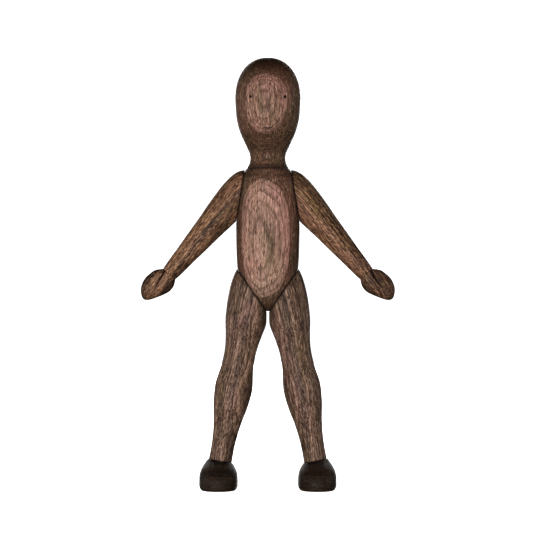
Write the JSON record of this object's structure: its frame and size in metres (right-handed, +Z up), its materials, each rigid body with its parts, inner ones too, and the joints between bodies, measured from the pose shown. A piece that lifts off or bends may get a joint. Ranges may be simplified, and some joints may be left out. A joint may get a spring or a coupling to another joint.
{
  "type": "jointed wooden figure",
  "caption": "Small free-standing jointed wooden figure: turned head, arms and legs swing on flat joint faces of the torso, separate feet turn at the ankles.",
  "frame": {"origin": "centre of the bounding box's base, on the floor under the figure", "axes": "+Z up, -Y the way the face and toes point, +X towards the figure's own left hand"},
  "size_m": [0.13, 0.0378, 0.22],
  "materials": {
    "dark_wood": "open-pored, smoked, oiled satin",
    "black_wood": "darker stained, satin",
    "beech": "plain dowel",
    "steel": "spring wire",
    "brass": "turned",
    "rubber": "matte"
  },
  "bodies": {
    "torso": {"torso": "dark_wood", "neck_bush": "rubber", "shoulder_spring": "steel", "hip_spring": "steel"},
    "head": {"head": "dark_wood", "neck_dowel": "beech"},
    "right_arm": {"right_arm": "dark_wood", "right_shoulder_seat": "brass"},
    "right_leg": {"right_leg": "dark_wood", "right_hip_seat": "brass", "right_ankle_bush": "rubber"},
    "right_foot": {"right_foot": "black_wood", "right_ankle_dowel": "beech"},
    "left_arm": {"left_arm": "dark_wood", "left_shoulder_seat": "brass"},
    "left_leg": {"left_leg": "dark_wood", "left_hip_seat": "brass", "left_ankle_bush": "rubber"},
    "left_foot": {"left_foot": "black_wood", "left_ankle_dowel": "beech"}
  },
  "joints": [
    {"name": "neck_turn", "type": "hinge", "parent": "torso", "child": "head", "pos_m": [0, 0.00215, 0.16344], "axis": [0, 0, 1], "range_deg": [-90, 90]},
    {"name": "right_shoulder_swing", "type": "hinge", "parent": "torso", "child": "right_arm", "pos_m": [-0.014, 0.00215, 0.14904], "axis": [-0.9857, 0, 0.1685], "continuous": true},
    {"name": "right_hip_swing", "type": "hinge", "parent": "torso", "child": "right_leg", "pos_m": [-0.0083, 0.00215, 0.10144], "axis": [-0.8251, 0, -0.565], "range_deg": [-70, 110]},
    {"name": "right_ankle_turn", "type": "hinge", "parent": "right_leg", "child": "right_foot", "pos_m": [-0.02431, 0.00215, 0.0142], "axis": [0.1805, 0, 0.9836], "range_deg": [-45, 45]},
    {"name": "left_shoulder_swing", "type": "hinge", "parent": "torso", "child": "left_arm", "pos_m": [0.014, 0.00215, 0.14904], "axis": [-0.9857, 0, -0.1685], "continuous": true},
    {"name": "left_hip_swing", "type": "hinge", "parent": "torso", "child": "left_leg", "pos_m": [0.0083, 0.00215, 0.10144], "axis": [-0.8251, 0, 0.565], "range_deg": [-70, 110]},
    {"name": "left_ankle_turn", "type": "hinge", "parent": "left_leg", "child": "left_foot", "pos_m": [0.02431, 0.00215, 0.0142], "axis": [-0.1805, 0, 0.9836], "range_deg": [-45, 45]}
  ]
}
